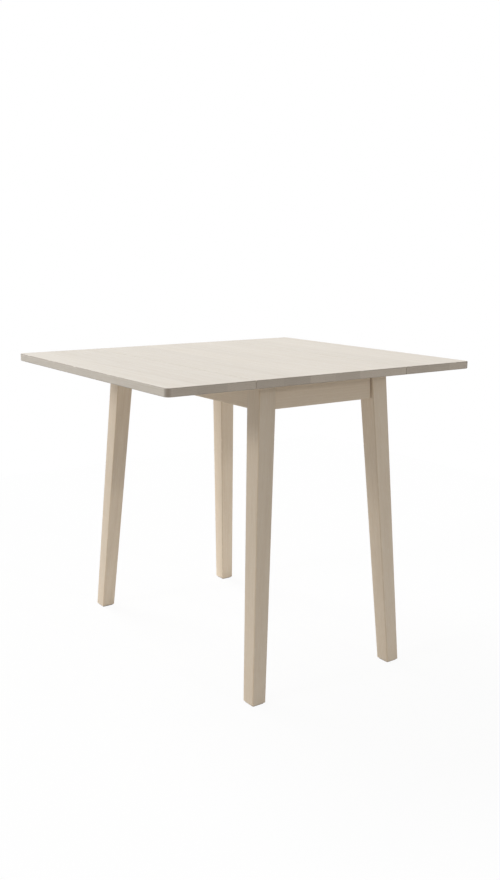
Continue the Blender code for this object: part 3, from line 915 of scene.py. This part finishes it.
@dataclass
class ScrewHeads:
    """Domed heads of wood screws with a cross recess, several to a piece."""

    steel: Material
    radius: float = 0.0030
    dome: float = 0.0007
    sunk: float = 0.0003
    recess_reach: float = 0.0019
    recess_half_width: float = 0.00045
    recess_depth: float = 0.0006
    soft: float = 0.00025
    sides: int = 32
    circles: int = 9
    inner_share: float = 0.04

    def build(self, name: str, body: str, places: Sequence[Vector], facing: Vector, turn: float) -> None:
        """Make the heads of one plate's screws.

        Args:
            name: the piece's name.
            body: the body that the plate rides on.
            places: the middle of each head on the plate's face.
            facing: the direction that the heads look in.
            turn: how far each head's cross is turned from the last one's.
        """
        heads = [self.head(place, facing, turn * (number + 1)) for number, place in enumerate(places)]
        piece = closed_surface(name, np.stack(heads))
        settle(piece, self.steel, body, STEEL_SLOT)

    def head(self, place: Vector, facing: Vector, turn: float) -> np.ndarray:
        """One head: a height over a disc, which is a low dome less a cross.

        The dome falls with the square of the radius. The cross is two soft bars at right angles.

        Args:
            place: the middle of the head on the plate's face.
            facing: the direction that it looks in.
            turn: the angle of its cross.

        Returns:
            Rings of points, from the buried rim to the middle.
        """
        angle = np.linspace(0, FULL_TURN, self.sides, endpoint=False)
        circle = self.radius * np.linspace(1, self.inner_share, self.circles)[:, None]
        along = circle * np.cos(angle)
        across = circle * np.sin(angle)
        height = self.dome * (1 - (circle / self.radius) ** 2) - self.recess_depth * self.cross(along, across)
        rim = np.stack((along[0], across[0], np.full(self.sides, -self.sunk)), axis=-1)
        head = np.concatenate((rim[None], np.stack((along, across, height), axis=-1)))
        upright = facing.to_track_quat("Z", "Y").to_matrix() @ Matrix.Rotation(turn, 3, "Z")
        return head @ np.array(upright).T + np.array(place)

    def cross(self, along: np.ndarray, across: np.ndarray) -> np.ndarray:
        """How deep the recess is, from 0 to 1, over a disc.

        Args:
            along: one coordinate on the disc.
            across: the other.

        Returns:
            1 in the cross, falling to 0 outside it.
        """
        short = np.minimum(np.abs(along), np.abs(across))
        long = np.maximum(np.abs(along), np.abs(across))
        bar = np.clip((self.recess_half_width - short) / self.soft + MIDDLE, 0, 1)
        end = np.clip((self.recess_reach - long) / self.soft + MIDDLE, 0, 1)
        return bar * end


@dataclass
class Hardware:
    """Steel fittings under the top, in a plain and a bright finish, and the screws that hold them."""

    steel: Material
    bright: Material
    screws: ScrewHeads


@dataclass
class Hinges(Hardware):
    """Six butt hinges, each with a plate on the panel, a plate on the leaf and a pin, and their screws."""

    rows: tuple[str, ...] = ("front", "middle", "back")
    plate_thickness: float = 0.0016
    end_margin: float = 0.0095
    edge_margin: float = 0.0075
    middle_margin: float = 0.0135
    turn: float = 0.9

    def build(self) -> None:
        """Dress the plates and pins, and add the screws."""
        for side, row in product(Side, self.rows):
            hinge = f"{side.label}_{row}_hinge"
            dress_nodes((hinge + "_panel_plate", hinge + "_leaf_plate"), self.steel)
            dress_nodes((hinge + "_pin",), self.bright)
            self.add_screws(hinge + "_panel", -side.value)
            self.add_screws(hinge + "_leaf", side.value)

    def add_screws(self, name: str, outward: int) -> None:
        """Add a plate's three screws in a staggered row.

        Args:
            name: the plate's name without its last word.
            outward: the sign of x from the pin to the plate's free edge.
        """
        node = name + "_plate"
        low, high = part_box(node)
        free_edge = high.x if outward > 0 else low.x
        face = high.z - self.plate_thickness
        outer = free_edge - outward * self.edge_margin
        inner = free_edge - outward * self.middle_margin
        places = (
            Vector((outer, low.y + self.end_margin, face)),
            Vector((inner, (low.y + high.y) / 2, face)),
            Vector((outer, high.y - self.end_margin, face)),
        )
        body = frame["nodes"][node]["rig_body"]
        self.screws.build(name + "_screws", body, places, DOWN, self.turn)


@dataclass
class Stays(Hardware):
    """Four folding stays, each with a bracket, a pin, an arm and a rail, and their screws."""

    base_thickness: float = 0.002
    base_margin: float = 0.0065
    web_thickness: float = 0.002
    rail_shares: tuple[float, ...] = (0.45, 0.70)
    turn: float = 1.3

    def build(self) -> None:
        """Dress the stays and add their screws."""
        for side, end in product(Side, End):
            stay = f"{side.label}_{end.label}_stay"
            dress_nodes((stay + "_bracket", stay + "_arm", stay + "_rail"), self.steel)
            dress_nodes((stay + "_pin",), self.bright)
            self.add_base_screws(stay, side.value)
            self.add_rail_screws(stay)

    def add_base_screws(self, stay: str, outward: int) -> None:
        """Add the two screws that hold a bracket to its apron.

        Args:
            stay: the stay's name.
            outward: the sign of x from the apron to the leaf.
        """
        low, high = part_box(stay + "_bracket")
        root = low.x if outward > 0 else high.x
        face = root + outward * self.base_thickness
        middle = (low.z + high.z) / 2
        places = [Vector((face, y, middle)) for y in (low.y + self.base_margin, high.y - self.base_margin)]
        name = stay + "_base_screws"
        self.screws.build(name, FRAME_BODY, places, Vector((outward, 0, 0)), self.turn)

    def add_rail_screws(self, stay: str) -> None:
        """Add the two screws that hold a rail to its leaf, where the arm's nose stays clear of them.

        Args:
            stay: the stay's name.
        """
        node = stay + "_rail"
        low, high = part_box(node)
        face = high.z - self.web_thickness
        inner, outer = sorted((low.x, high.x), key=abs)
        middle = (low.y + high.y) / 2
        places = [Vector((inner + share * (outer - inner), middle, face)) for share in self.rail_shares]
        body = frame["nodes"][node]["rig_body"]
        self.screws.build(stay + "_rail_screws", body, places, DOWN, self.turn)


@dataclass
class CornerJoints(Hardware):
    """A bent bracket across each corner of the aprons, a bolt that draws the leg to it, and their screws."""

    bracket_thickness: float = 0.0025
    wing_middle: float = 0.0115
    screw_rise: float = 0.011
    flange_setback: float = 0.0025
    flange_half_spread: float = 0.009
    turn: float = 0.7

    def build(self) -> None:
        """Dress the brackets and bolts, and add the screws."""
        for side, end in product(Side, End):
            corner = f"{end.label}_{side.label}"
            dress_nodes((corner + "_corner_bracket",), self.steel)
            dress_nodes((corner + "_leg_bolt",), self.bright)
            self.add_screws(corner, side.value, end.value)

    def add_screws(self, corner: str, side: int, end: int) -> None:
        """Add two screws in each wing and two in the flange.

        Args:
            corner: the corner's name.
            side: the sign of its x.
            end: the sign of its y.
        """
        low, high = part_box(corner + "_corner_bracket")
        outer_x, inner_x = sorted((low.x, high.x), key=abs, reverse=True)
        outer_y, inner_y = sorted((low.y, high.y), key=abs, reverse=True)
        middle = (low.z + high.z) / 2
        heights = (middle - self.screw_rise, middle + self.screw_rise)
        face_x = outer_x - side * self.bracket_thickness
        face_y = outer_y - end * self.bracket_thickness
        on_side = [Vector((face_x, inner_y + end * self.wing_middle, z)) for z in heights]
        on_end = [Vector((inner_x + side * self.wing_middle, face_y, z)) for z in heights]
        bolt_low, bolt_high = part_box(corner + "_leg_bolt")
        head = Vector((min(bolt_low.x, bolt_high.x, key=abs), min(bolt_low.y, bolt_high.y, key=abs), 0.0))
        head += self.flange_setback * Vector((side, end, 0))
        head.z = high.z - self.bracket_thickness
        spread = self.flange_half_spread * Vector((side, -end, 0)).normalized()
        sets = {
            "side": (on_side, Vector((-side, 0, 0))),
            "end": (on_end, Vector((0, -end, 0))),
            "flange": ((head + spread, head - spread), DOWN),
        }
        for word, (places, facing) in sets.items():
            self.screws.build(f"{corner}_bracket_{word}_screws", FRAME_BODY, places, facing, self.turn)


@dataclass
class FootGlides:
    """The four brown glides under the legs."""

    plastic: Material

    def build(self) -> None:
        """Dress the glides."""
        names = [f"{end.label}_{side.label}_foot_glide" for side, end in product(Side, End)]
        dress_nodes(names, self.plastic)


@dataclass(frozen=True)
class Lamp:
    """A lamp far away: its level, and in degrees its width and the bearing and height that it shines from."""

    level: float
    width: float
    bearing: float
    height: float

    def add(self, name: str) -> None:
        """Make the lamp.

        Args:
            name: the lamp's name.
        """
        lamp = bpy.data.lights.new(name, "SUN")
        lamp.energy = self.level
        lamp.angle = math.radians(self.width)
        holder = bpy.data.objects.new(name, lamp)
        bearing = math.radians(self.bearing)
        height = math.radians(self.height)
        away = math.cos(height)
        towards = Vector((away * math.sin(bearing), -away * math.cos(bearing), math.sin(height)))
        holder.rotation_euler = towards.to_track_quat("Z", "Y").to_euler()
        bpy.context.scene.collection.objects.link(holder)


@dataclass
class Studio:
    """A pale floor, lamps from behind, from the left end and weakly from the front, a sky, and the camera."""

    floor_half: float = 2.0
    floor_drop: float = 0.0002
    floor_colour: Colour = (0.93, 0.93, 0.93)
    floor_white: float = 0.93
    sky_level: float = 0.575
    sky_range: Pair = (-0.1, 0.8)
    back_lamp: Lamp = Lamp(1.652, 30, -170, 45)
    side_lamp: Lamp = Lamp(0.785, 15, -95, 25)
    front_lamp: Lamp = Lamp(0.261, 4, 15, 25)
    camera_place: Triple = (-1.4210, -1.9730, 1.0288)
    camera_azimuth: float = math.radians(34.667)
    camera_pitch: float = math.radians(10.590)
    camera_roll: float = math.radians(0.398)
    focal_pixels: float = 940.24
    axis_pixels: Pair = (221.32, 423.47)
    frame_width: int = 500
    frame_height: int = 880
    sensor: float = 36.0

    def build(self) -> None:
        """Make the floor, the light and the camera."""
        bpy.context.scene.view_settings.view_transform = "Standard"
        self.add_floor()
        self.add_sky()
        self.back_lamp.add("back_lamp")
        self.side_lamp.add("side_lamp")
        self.front_lamp.add("front_lamp")
        self.add_camera()

    def seen_directly(self, shader: Shader) -> Signal:
        """Tell what is seen from what gives light.

        Args:
            shader: the shader that asks.

        Returns:
            1 for rays from the camera, also by a reflection or through glass, and 0 for others.
        """
        path = shader.node("LightPath", output="Is Camera Ray")
        seen = shader.math("MAXIMUM", path, path.output("Is Glossy Ray"))
        return shader.math("MAXIMUM", seen, path.output("Is Transmission Ray"))

    def add_floor(self) -> None:
        """Make a flat floor that shows nearly white, keeps the table's shadow and lights as pale grey."""
        span = np.array((-self.floor_half, self.floor_half))
        corner_x, corner_y = np.meshgrid(span, span)
        points = np.stack((corner_x, corner_y, np.full_like(corner_x, -self.floor_drop)), axis=-1)
        mesh = bpy.data.meshes.new("floor")
        mesh.from_pydata(points.reshape(corner_x.size, -1).tolist(), [], [(0, 1, 3, 2)])
        floor = bpy.data.objects.new("floor", mesh)
        bpy.context.scene.collection.objects.link(floor)
        shader = Paint("floor_paint")
        dull = {"Base Color": self.floor_colour, "Roughness": 1.0, "Specular IOR Level": 0.0}
        material = shader.cover(dull)
        paint = Signal(shader, shader.tree.nodes["Principled BSDF"].outputs[0])
        white = shader.node("Emission", None, {"Color": WHITE, "Strength": 1.0})
        share = self.seen_directly(shader) * self.floor_white
        mixed = shader.node("MixShader", None, {0: share, 1: paint, 2: white})
        shader.feed(shader.tree.nodes["Material Output"].inputs["Surface"], mixed)
        mesh.materials.append(material)

    def add_sky(self) -> None:
        """Make a sky that is white where it is seen, and that lights the object mostly from overhead."""
        world = bpy.data.worlds.new("sky")
        world.use_nodes = True
        shader = Shader(world.node_tree)
        seen = self.seen_directly(shader)
        towards = shader.node("TexCoord", output="Generated")
        rise = shader.step(shader.axes(towards)[2], *self.sky_range)
        level = seen + (1.0 - seen) * rise * self.sky_level
        shader.feed(shader.tree.nodes["Background"].inputs["Color"], WHITE)
        shader.feed(shader.tree.nodes["Background"].inputs["Strength"], level)
        bpy.context.scene.world = world

    def add_camera(self) -> None:
        """Make the camera from its place, its three turns and where its axis meets the picture."""
        lens = bpy.data.cameras.new("camera")
        lens.sensor_width = self.sensor
        lens.lens = self.focal_pixels / self.frame_height * self.sensor
        lens.shift_x = (self.frame_width / 2 - self.axis_pixels[0]) / self.frame_height
        lens.shift_y = (self.axis_pixels[1] - self.frame_height / 2) / self.frame_height
        camera = bpy.data.objects.new("camera", lens)
        turn = Euler((QUARTER_TURN - self.camera_pitch, 0.0, -self.camera_azimuth)).to_matrix()
        turn = turn @ Matrix.Rotation(self.camera_roll, 3, "Z")
        camera.matrix_world = Matrix.Translation(self.camera_place) @ turn.to_4x4()
        bpy.context.scene.collection.objects.link(camera)
        bpy.context.scene.camera = camera


def main() -> None:
    """Build the table's looks, then the studio, in order."""
    logging.basicConfig(level=logging.INFO, format="%(name)s: %(message)s")
    top_wood = LimedWood(
        body=(0.700, 0.645, 0.565),
        late_wood=(0.592, 0.516, 0.422),
        lime=(0.790, 0.780, 0.770),
        bare=(0.620, 0.530, 0.420),
        # Painted shade: the boards' rounded edges and corners turn toward this dark colour in patches.
        rubbed=(0.290, 0.235, 0.183),
    )
    leg_wood = LimedWood(
        body=(0.746, 0.627, 0.485),
        late_wood=(0.631, 0.502, 0.361),
        lime=(0.814, 0.749, 0.658),
        bare=(0.665, 0.534, 0.378),
        # Mild wear: the edges of the legs and aprons turn toward this colour in patches.
        rubbed=(0.627, 0.496, 0.349),
    )
    zinc = PlatedSteel().dress("zinc_plate")
    bright = PlatedSteel(cool=(0.68, 0.68, 0.69), warm=(0.72, 0.71, 0.68), roughness=0.26)
    yellow = PlatedSteel(cool=(0.66, 0.58, 0.38), warm=(0.72, 0.60, 0.33), dull=(0.46, 0.38, 0.22))
    bright_steel = bright.dress("bright_steel")
    screws = ScrewHeads(yellow.dress("yellow_zinc"))
    TableTop(top_wood).build()
    LegFrame(leg_wood).build()
    Hinges(zinc, bright_steel, screws).build()
    Stays(zinc, bright_steel, screws).build()
    CornerJoints(zinc, bright_steel, screws).build()
    FootGlides(GlidePlastic().dress("glide_plastic")).build()
    Studio().build()


if __name__ == "__main__":
    main()
